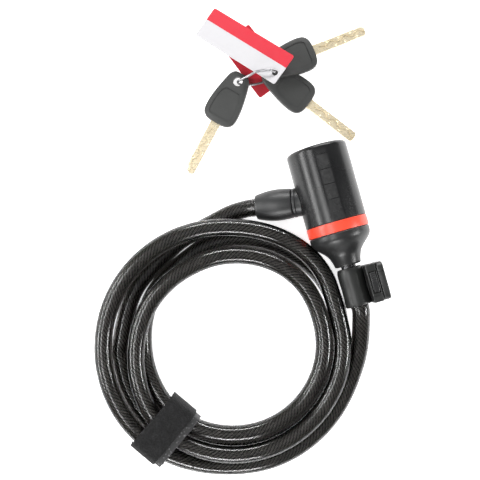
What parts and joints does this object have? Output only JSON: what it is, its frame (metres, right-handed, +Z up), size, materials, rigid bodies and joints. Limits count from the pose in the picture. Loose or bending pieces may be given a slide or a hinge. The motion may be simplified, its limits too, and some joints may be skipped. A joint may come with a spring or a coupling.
{
  "type": "key-operated coil cable lock",
  "caption": "Coiled sheathed steel cable lock with a barrel lock head, tapered boot, plug with mounting bracket, hook-and-loop strap, and keys with blank cards on a wire ring.",
  "frame": {"origin": "on the surface the lock lies on, below the middle of the box round everything but the coiled cable and its two free stretches", "axes": "+Z up from the surface, +Y from the cable coil towards the keys, +X from the strap towards the bracket"},
  "size_m": [0.1976, 0.327, 0.0414],
  "materials": {
    "cable_sheath": "smoky clear over stranded steel",
    "black_plastic": "satin moulded",
    "black_rubber": "matte",
    "red_plastic": "semi-gloss",
    "dark_steel": "blackened",
    "steel": "satin",
    "cast_zinc": "as cast",
    "brass": "turned",
    "key_brass": "nickel-washed",
    "strap_fabric": "felted loop and hook",
    "card_white": "coated card",
    "card_red": "coated card"
  },
  "bodies": {
    "cable": {"cable_coil": "cable_sheath", "cable_tail": "cable_sheath", "plug_pin": "dark_steel", "bracket_hub": "black_plastic", "clip_block": "black_plastic", "rail_plate": "black_plastic", "rail_screw_1": "steel", "rail_screw_2": "steel", "strap_wrap": "strap_fabric", "strap_end": "strap_fabric"},
    "head": {"housing_shell": "black_plastic", "nose_cap": "black_plastic", "trim_ring": "red_plastic", "lock_core": "cast_zinc", "bolt_carrier": "cast_zinc", "key_bezel": "steel", "stator": "steel", "bolt_spring": "steel", "cable_ferrule": "steel", "ferrule_pin": "steel", "boot_collar": "black_plastic", "boot_neck": "steel", "cable_boot": "black_rubber", "cable_lead": "cable_sheath"},
    "rotor": {"rotor": "brass", "cam": "steel"},
    "bolt": {"locking_bolt": "steel"},
    "tongue": {"release_tongue": "black_plastic"},
    "key_bunch": {"key_ring": "steel", "code_card": "card_white", "spare_card": "card_red"},
    "wafer_1": {"wafer_1": "brass"},
    "wafer_2": {"wafer_2": "brass"},
    "wafer_3": {"wafer_3": "brass"},
    "wafer_4": {"wafer_4": "brass"},
    "wafer_5": {"wafer_5": "brass"},
    "wafer_6": {"wafer_6": "brass"},
    "key_1": {"key_1_head": "black_plastic", "key_1_blade": "key_brass"},
    "key_2": {"key_2_head": "black_plastic", "key_2_blade": "key_brass"},
    "key_3": {"key_3_head": "black_plastic", "key_3_blade": "key_brass"}
  },
  "joints": [
    {"name": "head_pull", "type": "slide", "parent": "cable", "child": "head", "axis": [-0.2699, 0.9629, 0], "range_m": [0, 0.02], "deforming": ["cable_lead"]},
    {"name": "rotor_turn", "type": "hinge", "parent": "head", "child": "rotor", "pos_m": [0.04129, 0.04453, 0.0208], "axis": [0.2699, -0.9629, 0], "range_deg": [0, 90]},
    {"name": "bolt_slide", "type": "slide", "parent": "head", "child": "bolt", "axis": [-0.9629, -0.2699, 0], "range_m": [0, 0.0024], "deforming": ["bolt_spring"]},
    {"name": "tongue_press", "type": "hinge", "parent": "cable", "child": "tongue", "pos_m": [0.07756, -0.04002, 0.0323], "axis": [-0.9629, -0.2699, 0], "range_deg": [0, 5], "stiffness_Nm_per_rad": 0.05},
    {"name": "bunch_lift", "type": "slide", "parent": "cable", "child": "key_bunch", "axis": [0, 0, 1], "range_m": [0, 0.05]},
    {"name": "key_1_swing", "type": "hinge", "parent": "key_bunch", "child": "key_1", "pos_m": [-0.01385, 0.10455, 0.00485], "axis": [0, 0, 1], "range_deg": [-10, 10]},
    {"name": "key_2_swing", "type": "hinge", "parent": "key_bunch", "child": "key_2", "pos_m": [0.00915, 0.11335, 0.01075], "axis": [0, 0, 1], "range_deg": [0, 12]},
    {"name": "key_3_swing", "type": "hinge", "parent": "key_bunch", "child": "key_3", "pos_m": [0.00985, 0.10915, 0.00485], "axis": [0, 0, 1], "range_deg": [-5, 0]},
    {"name": "wafer_1_slide", "type": "slide", "parent": "rotor", "child": "wafer_1", "axis": [0, 0, 1], "range_m": [0, 0.0008]},
    {"name": "wafer_2_slide", "type": "slide", "parent": "rotor", "child": "wafer_2", "axis": [0, 0, -1], "range_m": [0, 0.0008]},
    {"name": "wafer_3_slide", "type": "slide", "parent": "rotor", "child": "wafer_3", "axis": [0, 0, 1], "range_m": [0, 0.0008]},
    {"name": "wafer_4_slide", "type": "slide", "parent": "rotor", "child": "wafer_4", "axis": [0, 0, -1], "range_m": [0, 0.0008]},
    {"name": "wafer_5_slide", "type": "slide", "parent": "rotor", "child": "wafer_5", "axis": [0, 0, 1], "range_m": [0, 0.0008]},
    {"name": "wafer_6_slide", "type": "slide", "parent": "rotor", "child": "wafer_6", "axis": [0, 0, -1], "range_m": [0, 0.0008]}
  ],
  "couplings": [
    {"joint": "bolt_slide", "follows": "rotor_turn", "m_per_rad": 0.001527},
    {"joint": "wafer_2_slide", "follows": "wafer_1_slide", "ratio": 1},
    {"joint": "wafer_3_slide", "follows": "wafer_1_slide", "ratio": 1},
    {"joint": "wafer_4_slide", "follows": "wafer_1_slide", "ratio": 1},
    {"joint": "wafer_5_slide", "follows": "wafer_1_slide", "ratio": 1},
    {"joint": "wafer_6_slide", "follows": "wafer_1_slide", "ratio": 1}
  ]
}
